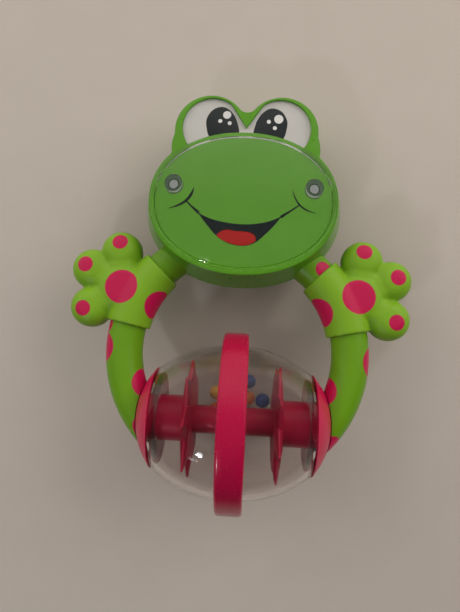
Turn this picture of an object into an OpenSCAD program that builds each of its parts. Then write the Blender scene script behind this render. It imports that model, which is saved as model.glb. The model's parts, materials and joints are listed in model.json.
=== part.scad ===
// Frog rattle lying on its back: a hollow head with a clear face cover, a C-shaped
// grip ring with two soft hands, and a clear ball that spins between the ring's ends.
//
// Every module below draws in the rattle's own frame: the origin is the ball's centre,
// X runs along the ball's axle, +Y points to the top of the head and +Z out of the face,
// and the ring's centre line lies in the plane z = 0. rest_pose() then tips the rattle
// on to its ball and the back of its eyes, with the surface it lies on at z = 0.

/* [Ball] */
// Radius of the grip band round the ball's equator
band_r = 35; // [34:0.5:37]
// Width of the grip band
band_w = 10; // [8:0.5:12]
// Radius of the clear ball at its equator
ball_r = 30; // [29:0.5:31]
// Half length of the clear ball's ellipse along the axle
ball_half_l = 40; // [39:0.5:41]
// Wall thickness of the clear ball
ball_wall = 2; // [1.6:0.1:2.2]
// Radius of the rim of an end cap
cap_r = 19.6; // [19.2:0.1:20.2]
// Distance from the ball's centre to an end cap's rim
cap_x = 31; // [30.5:0.1:31.5]
// Distance from the ball's centre to the top of an end cap
cap_top_x = 38.5; // [38:0.1:39]

/* [Axle, star wheels and beads] */
// Outer radius of the hollow axle
axle_r = 5.5; // [5:0.1:6]
// Radius of the hub inside an end cap
hub_r = 9; // [8.5:0.1:9.4]
// Distance from the ball's centre to the middle of a star wheel
star_x = 17.1; // [17:0.1:17.3]
// Radius of a star wheel's points
star_r = 23.5; // [22:0.1:24]
// Radius of the valleys between a star wheel's points
star_valley_r = 16; // [15:0.5:17]
// Number of points on a star wheel
star_points = 8; // [6:1:10]
// Thickness of a star wheel
star_t = 2.8; // [2.4:0.1:2.8]
// Radius of a bead
bead_r = 3.25; // [3:0.05:3.25]

/* [Ring] */
// Radius of the ring's centre line
ring_r = 45.6; // [45:0.1:46]
// Distance of the ring's centre from the axle
ring_y = 27.3; // [27:0.1:27.6]
// Outer radius of the ring's tube
tube_r = 7.35; // [7:0.05:7.6]
// Wall thickness of the ring's tube
tube_wall = 1.6; // [1.2:0.1:2]

/* [Hands] */
// Outer radius of the sleeve that a hand grips the ring with
sleeve_r = 8.9; // [8.7:0.1:9.2]
// Where the sleeve starts, in degrees above the ring's centre
sleeve_from = 11.5; // [10:0.5:13]
// Where the sleeve ends, in degrees above the ring's centre
sleeve_to = 45; // [43:0.5:46]
// Radius of a finger's round end
finger_r = 8.3; // [8:0.1:8.6]
// Thickness of a hand
hand_t = 14.4; // [14:0.1:15]

/* [Head] */
// Distance from the axle to the middle of the face
face_y = 85.8; // [85.5:0.1:86.2]
// Half width of the head at its widest
head_rx = 40.1; // [40:0.1:41]
// Half height of the head without its eyes
head_ry = 32.2; // [32:0.1:32.6]
// Depth of the head behind the ring's middle plane
back_depth = 14; // [14:0.1:14.4]
// Depth of the green head in front of the ring's middle plane
front_depth = 13.5; // [13.5:0.1:14]
// Wall thickness of the head
head_wall = 2; // [1.6:0.1:2.4]
// Half width of the clear face cover
cover_rx = 36.4; // [36.2:0.1:36.6]
// Half height of the clear face cover without its eyes
cover_ry = 27.7; // [27.5:0.1:27.8]
// Wall thickness of the clear face cover
cover_wall = 1.5; // [1.2:0.1:1.6]
// Height of the middle of the face cover above the ring's middle plane
cover_top = 17.5; // [17.3:0.1:18]

/* [Screws] */
// Sideways distance of a cheek screw from the middle of the face
screw_x = 27.4; // [27:0.1:28]
// Distance from the axle to the cheek screws
screw_y = 91.5; // [91:0.1:92]
// Radius of a screw's shaft
screw_r = 1.3; // [1.2:0.1:1.4]
// Radius of a screw's head
screw_head_r = 2.9; // [2.7:0.1:3]

/* [Hidden] */
$fn = 64;
eps = 0.01;
big = 200;
running_gap = 0.05;
part_gap = 0.1;

green = [0.36, 0.58, 0.14];
shell_green = [0.36, 0.54, 0.22];
pink = [0.72, 0.09, 0.24];
clear = [0.85, 0.9, 0.92, 0.35];
card_white = [0.93, 0.93, 0.9];
steel = [0.7, 0.71, 0.73];
blue = [0.08, 0.2, 0.5];
orange = [0.85, 0.35, 0.06];
yellow = [0.85, 0.6, 0.05];

// Ball: the cap stands on the shell's flat end; the two shells meet in the band's groove.
flange_r = ball_r + 2.5;
flange_t = 1.5;
shell_end = cap_x - 0.1;
hub_x = star_x + star_t / 2 + part_gap;
axle_end = 27;
axle_bore = 3.2;
cap_wall = 1.8;
// Sphere that passes through the cap's rim and its top.
cap_h = cap_top_x - cap_x;
cap_sphere_r = (cap_r * cap_r + cap_h * cap_h) / (2 * cap_h);
cap_sphere_x = cap_top_x - cap_sphere_r;

// Pivots: a headed pin sits in each end of the ring and reaches into the cap's hub.
pin_r = 2.5;
pin_head_r = 3.2;
pin_from = 29.5;
pin_neck = 41;
pin_to = 42.5;
pin_boss_r = 5;
ring_gap = 0.6;
tail_angle = -45;

// Beads lie in four lanes along the axle: [lane's x, angle above straight down, colour].
BEADS = [
    [12.3, 7, blue], [12.3, -12, yellow],
    [5.7, 29, blue], [5.7, 8, orange], [5.7, -13, yellow],
    [-1.7, 14, orange], [-1.7, -8, blue],
    [-8.3, 13, yellow], [-8.3, -6, orange], [-8.3, -25, blue]
];
bead_gap = 0.2;

// Hands: finger ends around a palm, as [x, y].
palm = [48, 51.3];
palm_r = 10.5;
FINGERS = [[49.3, 66.2], [60.8, 58.5], [60.3, 42.9]];
hand_edge = 5;

// Head: each ring of the loft is [z, how far the outline is drawn in there].
BACK_RINGS = [[-back_depth - 0.3, 10.5], [-12.6, 6.6], [-10.6, 3.9], [-8, 1.9], [-4.5, 0.6], [0, 0]];
FRONT_RINGS = [[0, 0], [4, 1], [8, 2.2], [11, 2.9], [12.8, 3.2], [front_depth, 3.7]];
COVER_RINGS = [[12, 0], [14, 0], [14.8, 0.6], [15.4, 1.9], [16.1, 4.8], [16.8, 10],
               [17.3, 16], [cover_top, 21]];
oval_power = 2.1;
// Eye lobes: the middle of an eye, the middle of its cheek side, and their radius.
eye = [14.1, 114.5];
eye_low = [15, 107.5];
eye_rim_r = 14.2;
eye_r = eye_rim_r + 1;
// Fillet that touches both eye rims and rounds the notch between them.
notch_y = 122.1;
notch_up = notch_y - eye[1];
notch_r = (eye[0] * eye[0] + notch_up * notch_up - eye_rim_r * eye_rim_r) / (2 * (eye_rim_r - notch_up));
// White of an eye, which is also the opening in the front frame, and the wedge between the whites.
white = [13.5, 115.7];
white_r = 12;
wedge_low_y = 115.7;
wedge = [8, 12.1];
card_z = 11.2;
card_t = 0.8;
plate_t = 1.2;
ledge = 1.4;
ledge_t = 1.5;
cover_z = card_z + card_t;
cheek_r = 6.6;
cheek_top = 16.6;
cheek_boss_r = 3.5;
post_r = 4.4;
post_top = -4.9;
recess_top = -8.5;
screw_tip = 11;

// Rest pose: the band and the rounded back edge of the eyes touch the surface together.
edge_r = 8;
edge_y = eye[1] + eye_r - edge_r;
edge_z = back_depth - edge_r;
tilt = asin((band_r - edge_r) / norm([edge_y, edge_z])) - atan(edge_z / edge_y);
head_end_y = (eye[1] + eye_rim_r) * cos(tilt) + front_depth * sin(tilt);
mid_y = (head_end_y - band_r) / 2;

// ---- helpers ----------------------------------------------------------------------

module rest_pose() {
    translate([0, -mid_y, band_r]) rotate([-tilt, 0, 0]) children();
}

// Draws the +X child on the +X side, or its mirror image on the -X side.
module on_side(side) {
    mirror([side < 0 ? 1 : 0, 0, 0]) children();
}

// Turns a profile of [radius, distance along the axle] round the axle.
module round_axle(profile) {
    rotate([0, 90, 0]) rotate_extrude($fn = 96) polygon(profile);
}

module axle_rod(r, from, to) {
    translate([from, 0, 0]) rotate([0, 90, 0]) cylinder(r = r, h = to - from);
}

function arc(centre, r, from, to, steps) =
    [for (i = [0:steps]) centre + r * [cos(from + (to - from) * i / steps),
                                      sin(from + (to - from) * i / steps)]];

// Superellipse outline, a little fuller than an ellipse.
function oval(rx, ry, steps = 48) =
    [for (i = [0:steps - 1])
        let (c = cos(360 * i / steps), s = sin(360 * i / steps))
        [rx * sign(c) * pow(abs(c), 2 / oval_power), ry * sign(s) * pow(abs(s), 2 / oval_power)]];

// Solid through a stack of ovals, each [z, how far it is drawn in].
module oval_loft(rx, ry, rings) {
    m = len(oval(rx, ry));
    k = len(rings);
    points = [for (ring = rings) each
              [for (p = oval(rx - ring[1], ry - ring[1])) [p[0], p[1], ring[0]]]];
    base = [for (i = [0:m - 1]) i];
    top = [for (i = [m - 1:-1:0]) (k - 1) * m + i];
    sides = [for (level = [0:k - 2]) for (i = [0:m - 1]) for (half = [0, 1])
        let (a = level * m + i, b = level * m + (i + 1) % m)
        half == 0 ? [a, a + m, b + m] : [a, b + m, b]];
    polyhedron(points, concat([base], [top], sides));
}

// Round solid of revolution through the same kind of stack.
module disc_stack(r, rings) {
    profile = [for (ring = rings) [r - ring[1], ring[0]]];
    ends = [[0, rings[len(rings) - 1][0]], [0, rings[0][0]]];
    rotate_extrude() polygon(concat(profile, ends));
}

// ---- ring -------------------------------------------------------------------------

// Length of the ring's tube between two angles; half is 1 for the front, -1 for the
// back and 0 for the whole tube.
module tube(r, from, to, half = 0) {
    translate([0, ring_y, 0]) rotate([0, 0, from]) rotate_extrude(angle = to - from, $fn = 128)
        translate([ring_r, 0]) difference() {
            circle(r = r, $fn = 48);
            if (half != 0) translate([-big / 2, half > 0 ? -big : 0]) square([big, big]);
        }
}

// Space that the ball and its caps turn in, with a gap all round.
module ball_space(gap) {
    round_axle(concat([[0, 0], [ball_r + gap, 0], [cap_r + gap, cap_x]],
        arc([0, cap_sphere_x], cap_sphere_r + gap, acos(cap_r / cap_sphere_r), 90, 16)));
}

module pin_holes() {
    axle_rod(pin_r + running_gap, pin_from, pin_to);
    axle_rod(pin_head_r + running_gap, pin_neck, pin_to + running_gap);
}

module ring_half(half) {
    color(green) rest_pose() difference() {
        tube(tube_r, tail_angle, 180 - tail_angle, half);
        for (side = [-1, 1]) on_side(side) ball_space(ring_gap);
        difference() {
            tube(tube_r - tube_wall, tail_angle + 2, 178 - tail_angle, half);
            for (side = [-1, 1]) on_side(side) {
                ball_space(ring_gap + tube_wall);
                axle_rod(pin_boss_r, 30, 50);
            }
        }
        for (side = [-1, 1]) on_side(side) pin_holes();
    }
}

module ring_front_shell() {
    ring_half(1);
}

module ring_back_shell() {
    ring_half(-1);
}

module pivot_pin(side) {
    color(steel) rest_pose() on_side(side) {
        axle_rod(pin_r, pin_from, pin_neck + eps);
        axle_rod(pin_head_r, pin_neck, pin_to);
    }
}

module pivot_pin_left() {
    pivot_pin(-1);
}

module pivot_pin_right() {
    pivot_pin(1);
}

// ---- hands ------------------------------------------------------------------------

module finger_end(r, t) {
    half = t / 2;
    rotate_extrude($fn = 32) polygon(concat([[0, -half]],
        arc([r - hand_edge, hand_edge - half], hand_edge, -90, 0, 4),
        arc([r - hand_edge, half - hand_edge], hand_edge, 0, 90, 4), [[0, half]]));
}

module hand(side) {
    color(green) rest_pose() on_side(side) difference() {
        union() {
            tube(sleeve_r, sleeve_from, sleeve_to);
            for (finger = FINGERS) hull() {
                translate(palm) finger_end(palm_r, hand_t);
                translate(finger) finger_end(finger_r, hand_t);
            }
        }
        tube(tube_r + running_gap, sleeve_from - 20, sleeve_to + 20);
    }
}

module hand_left() {
    hand(-1);
}

module hand_right() {
    hand(1);
}

// ---- head -------------------------------------------------------------------------

// Solid of the head's back or front half; inset draws every wall in by that much.
module head_form(rings, inset) {
    z_scale = 1 - inset / back_depth;
    drawn = [for (ring = rings) [ring[0] * z_scale, ring[1]]];
    translate([0, face_y]) oval_loft(head_rx - inset, head_ry - inset, drawn);
    eyes = [for (ring = drawn) [ring[0], ring[1] * (eye_r - eye_rim_r) / FRONT_RINGS[5][1]]];
    round_eyes = rings == BACK_RINGS ? drawn : eyes;
    for (x = [-1, 1]) {
        translate([x * eye[0], eye[1]]) disc_stack(eye_r - inset, round_eyes);
        translate([x * eye_low[0], eye_low[1]]) disc_stack(eye_r - inset, round_eyes);
    }
}

// Web between the eyes, with the round bottom of the notch cut into it.
module brow(from, to) {
    touch_x = eye[0] * notch_r / (eye_rim_r + notch_r);
    difference() {
        translate([-touch_x, notch_y - 12, from]) cube([2 * touch_x, 12 + notch_r / 2, to - from]);
        translate([0, notch_y + notch_r, from - 1]) cylinder(r = notch_r, h = to - from + 2);
    }
}

module ring_passage() {
    tube(tube_r + part_gap, 20, 160);
}

// Outline of the face opening, grown by g.
module face_outline(g) {
    translate([0, face_y]) polygon(oval(cover_rx + g, cover_ry + g, 96));
    wedge_shift = g * norm(wedge) / wedge[0];
    difference() {
        for (x = [-1, 1]) translate([x * white[0], white[1]]) circle(r = white_r + g, $fn = 96);
        translate([0, wedge_low_y + wedge_shift]) polygon([[0, 0], wedge, [-wedge[0], wedge[1]]]);
    }
}

module head_back_shell() {
    color(shell_green) rest_pose() difference() {
        union() {
            difference() {
                union() {
                    head_form(BACK_RINGS, 0);
                    brow(-9, 0);
                }
                head_form(BACK_RINGS, head_wall);
                translate([0, face_y]) oval_loft(head_rx - head_wall, head_ry - head_wall, [[-eps, 0], [1, 0]]);
            }
            for (x = [-1, 1]) {
                translate([x * screw_x, screw_y, -back_depth]) cylinder(r = post_r, h = back_depth + post_top);
                translate([x * 12 - 0.8, 66, -back_depth + 1]) cube([1.6, 17, back_depth - 3]);
            }
        }
        for (x = [-1, 1]) translate([x * screw_x, screw_y, -back_depth - 1]) {
            cylinder(r = screw_head_r + 0.3, h = back_depth + 1 + recess_top);
            cylinder(r = screw_r + 0.2, h = back_depth);
        }
        translate([-big / 2, 0, -big - back_depth]) cube([big, big, big]);
        ring_passage();
    }
}

module head_front_frame() {
    color(shell_green) rest_pose() difference() {
        union() {
            head_form(FRONT_RINGS, 0);
            brow(0, front_depth);
        }
        intersection() {
            head_form(FRONT_RINGS, head_wall);
            translate([-big / 2, 0, -1]) cube([big, big, 1 + card_z - ledge_t]);
        }
        translate([0, 0, -1]) linear_extrude(big) face_outline(-ledge);
        translate([0, 0, card_z]) linear_extrude(big) face_outline(0);
        ring_passage();
    }
}

module face_card() {
    color(card_white) rest_pose() translate([0, 0, card_z]) linear_extrude(card_t) difference() {
        face_outline(-0.15);
        for (x = [-1, 1]) translate([x * screw_x, screw_y]) circle(r = cheek_boss_r + part_gap);
    }
}

module cover_dome(inset) {
    rings = [for (ring = COVER_RINGS) [ring[0] - inset, ring[1]]];
    translate([0, face_y]) oval_loft(cover_rx - part_gap - inset, cover_ry - part_gap - inset, rings);
}

module face_cover() {
    color(clear) rest_pose() difference() {
        union() {
            difference() {
                union() {
                    translate([0, 0, cover_z]) linear_extrude(plate_t) face_outline(-part_gap);
                    cover_dome(0);
                    for (x = [-1, 1]) translate([x * screw_x, screw_y, cover_z])
                        disc_stack(cheek_r, [[0, 0], [cheek_top - 1.5 - cover_z, 0],
                                             [cheek_top - 0.5 - cover_z, 0.8], [cheek_top - cover_z, 2.4]]);
                }
                cover_dome(cover_wall);
            }
            for (x = [-1, 1]) translate([x * screw_x, screw_y, post_top + part_gap])
                cylinder(r = cheek_boss_r, h = cheek_top - 1 - post_top);
        }
        for (x = [-1, 1]) translate([x * screw_x, screw_y, post_top])
            cylinder(r = screw_r + running_gap, h = screw_tip + 1 - post_top);
    }
}

module head_screws() {
    color(steel) rest_pose() for (x = [-1, 1]) translate([x * screw_x, screw_y]) difference() {
        union() {
            translate([0, 0, recess_top - 1.8]) cylinder(r = screw_head_r, h = 1.8);
            translate([0, 0, recess_top - eps]) cylinder(r = screw_r, h = screw_tip - recess_top);
        }
        for (turn = [0, 90]) rotate([0, 0, turn])
            translate([-1.6, -0.35, recess_top - 1.8 - eps]) cube([3.2, 0.7, 1]);
    }
}

// ---- ball -------------------------------------------------------------------------

// Points of the ball's ellipse, as [radius, distance along the axle].
function ball_arc(r, half_l, from_x, to_x, steps) =
    let (a = asin(from_x / half_l), b = asin(to_x / half_l))
    [for (i = [0:steps]) let (t = a + (b - a) * i / steps) [r * cos(t), half_l * sin(t)]];

module ball_shell(side) {
    inner_end = shell_end - ball_wall;
    color(clear) rest_pose() on_side(side) round_axle(concat(
        [[flange_r, 0], [flange_r, flange_t]],
        ball_arc(ball_r, ball_half_l, flange_t, shell_end, 24),
        [[hub_r + 0.2, shell_end], [hub_r + 0.2, inner_end]],
        ball_arc(ball_r - ball_wall, ball_half_l - ball_wall, inner_end, 0, 24)));
}

module ball_shell_left() {
    ball_shell(-1);
}

module ball_shell_right() {
    ball_shell(1);
}

module ball_band() {
    half = band_w / 2;
    edge = 1.6;
    groove = flange_t + part_gap;
    color(pink) rest_pose() round_axle(concat(
        [[ball_r + part_gap, -half]],
        arc([band_r - edge, edge - half], edge, -90, 0, 5),
        arc([band_r - edge, half - edge], edge, 0, 90, 5),
        [[ball_r + part_gap, half], [ball_r + part_gap, groove], [flange_r + part_gap, groove],
         [flange_r + part_gap, -groove], [ball_r + part_gap, -groove]]));
}

module cap(side) {
    color(pink) rest_pose() on_side(side) difference() {
        union() {
            difference() {
                round_axle(concat([[0, cap_x], [cap_r, cap_x]],
                    arc([0, cap_sphere_x], cap_sphere_r, acos(cap_r / cap_sphere_r), 90, 16)));
                round_axle(concat([[0, cap_x - 1], [cap_r - cap_wall, cap_x - 1]],
                    arc([0, cap_sphere_x], cap_sphere_r - cap_wall,
                        acos((cap_r - cap_wall) / (cap_sphere_r - cap_wall)), 90, 16)));
            }
            axle_rod(hub_r, hub_x, cap_top_x - 1.5);
        }
        axle_rod(axle_r + part_gap, hub_x - 1, axle_end + 0.5);
        axle_rod(pin_r + running_gap, axle_end, cap_top_x + 1);
    }
}

module cap_left() {
    cap(-1);
}

module cap_right() {
    cap(1);
}

// Flat pointed wheel; turn is the angle of its first point.
module star_wheel(side, turn) {
    step = 180 / star_points;
    outline = [for (i = [0:2 * star_points - 1]) let (r = i % 2 == 0 ? star_r : star_valley_r)
               [r * cos(turn + step * i), r * sin(turn + step * i)]];
    color(pink) rest_pose() on_side(side) difference() {
        translate([star_x - star_t / 2, 0, 0]) rotate([90, 0, 90]) linear_extrude(star_t) polygon(outline);
        axle_rod(axle_r + running_gap, star_x - 10, star_x + 10);
    }
}

module star_wheel_left() {
    star_wheel(-1, 0);
}

module star_wheel_right() {
    star_wheel(1, 180 / star_points);
}

module ball_axle() {
    color(pink) rest_pose() difference() {
        axle_rod(axle_r, -axle_end, axle_end);
        axle_rod(axle_bore, -axle_end - 1, axle_end + 1);
    }
}

// Distance from the axle at which a bead lies on the inside of the clear ball.
function bead_track(x) =
    let (r = ball_r - ball_wall, half_l = ball_half_l - ball_wall,
         wall = r * sqrt(1 - x * x / (half_l * half_l)),
         slope = r * r * x / (half_l * half_l * wall))
    wall - (bead_r + bead_gap) * sqrt(1 + slope * slope);

module bead(number) {
    place = BEADS[number - 1];
    track = bead_track(place[0]);
    angle = place[1] + tilt;
    color(place[2]) rest_pose()
        translate([place[0], track * sin(angle), -track * cos(angle)])
        sphere(r = bead_r, $fn = 48);
}

head_back_shell();
head_front_frame();
face_card();
face_cover();
head_screws();
ring_front_shell();
ring_back_shell();
hand_left();
hand_right();
pivot_pin_left();
pivot_pin_right();
ball_shell_left();
ball_shell_right();
ball_band();
cap_left();
cap_right();
star_wheel_left();
star_wheel_right();
ball_axle();
bead(1);  // bead_1
bead(2);  // bead_2
bead(3);  // bead_3
bead(4);  // bead_4
bead(5);  // bead_5
bead(6);  // bead_6
bead(7);  // bead_7
bead(8);  // bead_8
bead(9);  // bead_9
bead(10);  // bead_10
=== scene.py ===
"""Frog rattle lying on its back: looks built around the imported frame.

Pieces are drawn in millimetres in the rattle's own frame: the origin is the ball's centre, X
runs along the ball's axle, +Y points to the top of the head and +Z out of the face.
place() then moves a finished piece into the row frame, in metres.
"""

import json
import math

import bmesh
import bpy
import numpy as np
from mathutils import Matrix, Vector


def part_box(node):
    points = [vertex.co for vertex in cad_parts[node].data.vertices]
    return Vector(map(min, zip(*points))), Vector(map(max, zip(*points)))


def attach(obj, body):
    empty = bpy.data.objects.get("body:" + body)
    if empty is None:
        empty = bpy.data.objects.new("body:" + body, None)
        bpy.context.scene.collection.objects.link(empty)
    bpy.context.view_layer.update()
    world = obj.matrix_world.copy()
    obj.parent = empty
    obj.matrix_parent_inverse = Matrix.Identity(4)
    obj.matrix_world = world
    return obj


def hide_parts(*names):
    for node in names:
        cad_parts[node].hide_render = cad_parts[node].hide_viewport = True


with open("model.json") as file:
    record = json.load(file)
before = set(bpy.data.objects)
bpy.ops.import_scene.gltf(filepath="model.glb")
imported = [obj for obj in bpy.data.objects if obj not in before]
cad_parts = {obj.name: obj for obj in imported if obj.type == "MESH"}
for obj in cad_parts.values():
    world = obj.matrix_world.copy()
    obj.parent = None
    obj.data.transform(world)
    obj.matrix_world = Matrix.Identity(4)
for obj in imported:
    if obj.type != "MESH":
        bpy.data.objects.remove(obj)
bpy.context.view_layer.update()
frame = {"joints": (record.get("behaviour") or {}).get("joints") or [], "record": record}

# ---- the rattle's own frame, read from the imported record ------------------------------

MM = 0.001
RECORD = frame["record"]
BALL_CENTRE = Vector(next(j["pos_m"] for j in frame["joints"] if j["name"] == "ball_spin"))
BACK_AXIS = next(m["axis"] for m in RECORD["mounts"] if m["name"] == "back_rest")
TILT = math.asin(-BACK_AXIS[1])
TO_ROW = Matrix.Translation(BALL_CENTRE) @ Matrix.Rotation(-TILT, 4, "X") @ Matrix.Scale(MM, 4)

# Sizes in millimetres, as the CAD model has them.
BAND_R, BAND_W = 35.0, 10.0
BALL_R, BALL_HALF_L, BALL_WALL = 30.0, 40.0, 2.0
FLANGE_R, FLANGE_T = 32.5, 1.5
CAP_R, CAP_X, CAP_TOP_X, CAP_WALL = 19.6, 31.0, 38.5, 1.8
CAP_SPHERE_R = (CAP_R**2 + (CAP_TOP_X - CAP_X) ** 2) / (2 * (CAP_TOP_X - CAP_X))
CAP_SPHERE_X = CAP_TOP_X - CAP_SPHERE_R
AXLE_R, AXLE_BORE, AXLE_END = 5.5, 3.2, 27.0
HUB_R, STAR_X, STAR_R, STAR_VALLEY_R, STAR_T, STAR_POINTS = 9.0, 17.1, 23.5, 16.0, 2.8, 8
HUB_X = STAR_X + STAR_T / 2 + 0.1
PIN_R, PIN_HEAD_R, PIN_FROM, PIN_NECK, PIN_TO, PIN_BOSS_R = 2.5, 3.2, 29.5, 41.0, 42.5, 5.0
BEAD_R = 3.25
RING_R, RING_Y, TUBE_R, TUBE_WALL = 45.6, 27.3, 7.35, 1.6
TAIL_ANGLE, RING_GAP = -45.0, 0.3
SLEEVE_R, SLEEVE_FROM, SLEEVE_TO = 8.9, 11.5, 45.0
PALM, PALM_R = (48.0, 51.3), 10.5
FINGERS, FINGER_R, HAND_T = ((49.3, 66.2), (60.8, 58.5), (60.3, 42.9)), 8.3, 14.4
FACE_Y, HEAD_RX, HEAD_RY, OVAL_POWER = 85.8, 40.1, 32.2, 2.1
BACK_DEPTH, FRONT_DEPTH, HEAD_WALL = 14.0, 13.5, 2.0
COVER_RX, COVER_RY, COVER_WALL, COVER_TOP = 36.4, 27.7, 1.5, 17.5
EYE, EYE_LOW, EYE_R, NOTCH_Y = (14.1, 114.5), (15.0, 107.5), 15.2, 122.1
WHITE, WHITE_R, WEDGE_LOW_Y, WEDGE = (13.5, 115.7), 12.0, 115.7, (8.0, 12.1)
CARD_Z, CARD_T, PLATE_T, LEDGE, LEDGE_T = 11.2, 0.8, 1.2, 1.4, 1.5
COVER_Z = CARD_Z + CARD_T
SCREW_X, SCREW_Y, SCREW_R, SCREW_HEAD_R = 27.4, 91.5, 1.3, 2.9
CHEEK_R, CHEEK_TOP, CHEEK_BOSS_R, POST_TOP, RECESS_TOP = 6.6, 16.6, 3.5, -4.9, -8.5
SCREW_TIP, POST_R, SCREW_SHADE_R, SCREW_END_R = 11.0, 4.4, 2.1, 1.8
FIT = 0.05  # gap between a pin, screw or axle and its hole
CENTRE = 0.01  # radius that stands for the axis, so that a turned solid closes
SIDES = {"left": -1, "right": 1}


# ---- camera, light and floor ------------------------------------------------------------

CAMERA_PLACE = (3.84, 25.67, 191.2)  # in the rattle's own frame, in millimetres
CAMERA_YAW, CAMERA_PITCH, CAMERA_ROLL = math.radians(2.2), math.radians(6.04), math.radians(2.9)
SENSOR, LENS = 36.0, 27.65


def make_camera():
    data = bpy.data.cameras.new("camera")
    data.sensor_width = SENSOR
    data.lens = LENS
    data.clip_start = 0.01
    camera = bpy.data.objects.new("camera", data)
    camera.location = TO_ROW @ Vector(CAMERA_PLACE)
    tipped = Matrix.Rotation(-TILT, 3, "X") @ Matrix.Rotation(CAMERA_YAW, 3, "Y")
    turned = Matrix.Rotation(CAMERA_PITCH, 3, "X") @ Matrix.Rotation(CAMERA_ROLL, 3, "Z")
    camera.rotation_euler = (tipped @ turned).to_euler()
    bpy.context.scene.collection.objects.link(camera)
    bpy.context.scene.camera = camera


def area_light(name, place, target, size, power, colour, glint=False):
    """Lamp aimed at target; only one with a glint shows in glossy and clear pieces."""
    data = bpy.data.lights.new(name, "AREA")
    data.shape = "RECTANGLE"
    data.size, data.size_y = size
    data.energy = power
    data.color = colour
    light = bpy.data.objects.new(name, data)
    light.location = place
    light.visible_glossy = glint
    light.visible_transmission = glint
    aim = Vector(target) - Vector(place)
    light.rotation_euler = aim.to_track_quat("-Z", "Y").to_euler()
    bpy.context.scene.collection.objects.link(light)


def make_lights():
    """A dim room behind large soft lights, and one small lamp that makes the glints."""
    world = bpy.data.worlds.new("room")
    bpy.context.scene.world = world
    world.use_nodes = True
    nodes, links = world.node_tree.nodes, world.node_tree.links
    direction = nodes.new("ShaderNodeTexCoord").outputs["Generated"]
    split = nodes.new("ShaderNodeSeparateXYZ")
    ramp = nodes.new("ShaderNodeValToRGB")
    links.new(direction, split.inputs[0])
    links.new(split.outputs["Y"], ramp.inputs[0])
    ramp.color_ramp.elements[0].position = 0.45
    ramp.color_ramp.elements[0].color = (0.045, 0.044, 0.042, 1)
    ramp.color_ramp.elements[1].position = 0.95
    ramp.color_ramp.elements[1].color = (0.55, 0.53, 0.50, 1)
    background = nodes["Background"]
    links.new(ramp.outputs[0], background.inputs["Color"])
    background.inputs["Strength"].default_value = 0.8
    warm, cool = (1.0, 0.95, 0.9), (0.92, 0.96, 1.0)
    area_light("ceiling", (0.0, 0.4, 1.2), (0, 0.05, 0), (2.6, 2.2), 8.0, warm)
    area_light("window", (0.6, 0.4, 0.38), (0, 0.02, 0), (0.7, 0.6), 4.2, warm)
    area_light("fill", (-0.6, 0.35, 0.38), (0, 0, 0), (0.7, 0.6), 2.6, warm)
    area_light("far_wall", (0.0, 0.9, 0.5), (0, 0.05, 0), (1.2, 0.6), 1.6, warm)
    area_light("lamp", (-0.22, -0.34, 0.42), (0, 0, 0.03), (0.05, 0.03), 0.35, cool, glint=True)
    view = bpy.context.scene.view_settings
    view.view_transform = "Standard"


def make_floor():
    mesh = bpy.data.meshes.new("floor")
    half = 2.0
    corners = [(-half, -half, 0), (half, -half, 0), (half, half, 0), (-half, half, 0)]
    mesh.from_pydata(corners, [], [(0, 1, 2, 3)])
    floor = bpy.data.objects.new("floor", mesh)
    material, nodes, links, shader = new_material("floor")
    shader.inputs["Roughness"].default_value = 0.75
    pale, paler = (0.50, 0.445, 0.395), (0.53, 0.475, 0.425)
    colour = mix_colours(nodes, links, noise(nodes, links, 60.0), pale, paler)
    links.new(colour, shader.inputs["Base Color"])
    mesh.materials.append(material)
    bpy.context.scene.collection.objects.link(floor)


# ---- materials --------------------------------------------------------------------------


def new_material(name):
    material = bpy.data.materials.new(name)
    material.use_nodes = True
    tree = material.node_tree
    return material, tree.nodes, tree.links, tree.nodes["Principled BSDF"]


def noise(nodes, links, scale, detail=2.0):
    """Noise from 0 to 1 at that many waves a metre, fixed to the piece."""
    texture = nodes.new("ShaderNodeTexNoise")
    texture.inputs["Scale"].default_value = scale
    texture.inputs["Detail"].default_value = detail
    coordinates = nodes.new("ShaderNodeTexCoord")
    links.new(coordinates.outputs["Object"], texture.inputs["Vector"])
    return texture.outputs["Fac"]


def remap(nodes, links, value, low, high):
    """value, from 0 to 1, taken to the range from low to high."""
    node = nodes.new("ShaderNodeMapRange")
    node.inputs["To Min"].default_value = low
    node.inputs["To Max"].default_value = high
    links.new(value, node.inputs["Value"])
    return node.outputs["Result"]


def mix_colours(nodes, links, factor, first, second):
    """first where factor is 0 and second where it is 1; each is a colour or a socket."""
    node = nodes.new("ShaderNodeMix")
    node.data_type = "RGBA"
    links.new(factor, node.inputs["Factor"])
    # Inputs 6 and 7 and output 2 are this node's colour sockets.
    for socket, colour in ((node.inputs[6], first), (node.inputs[7], second)):
        if isinstance(colour, tuple):
            socket.default_value = (*colour, 1)
        else:
            links.new(colour, socket)
    return node.outputs[2]


def shade(colour, factor):
    return tuple(c * factor for c in colour)


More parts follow.
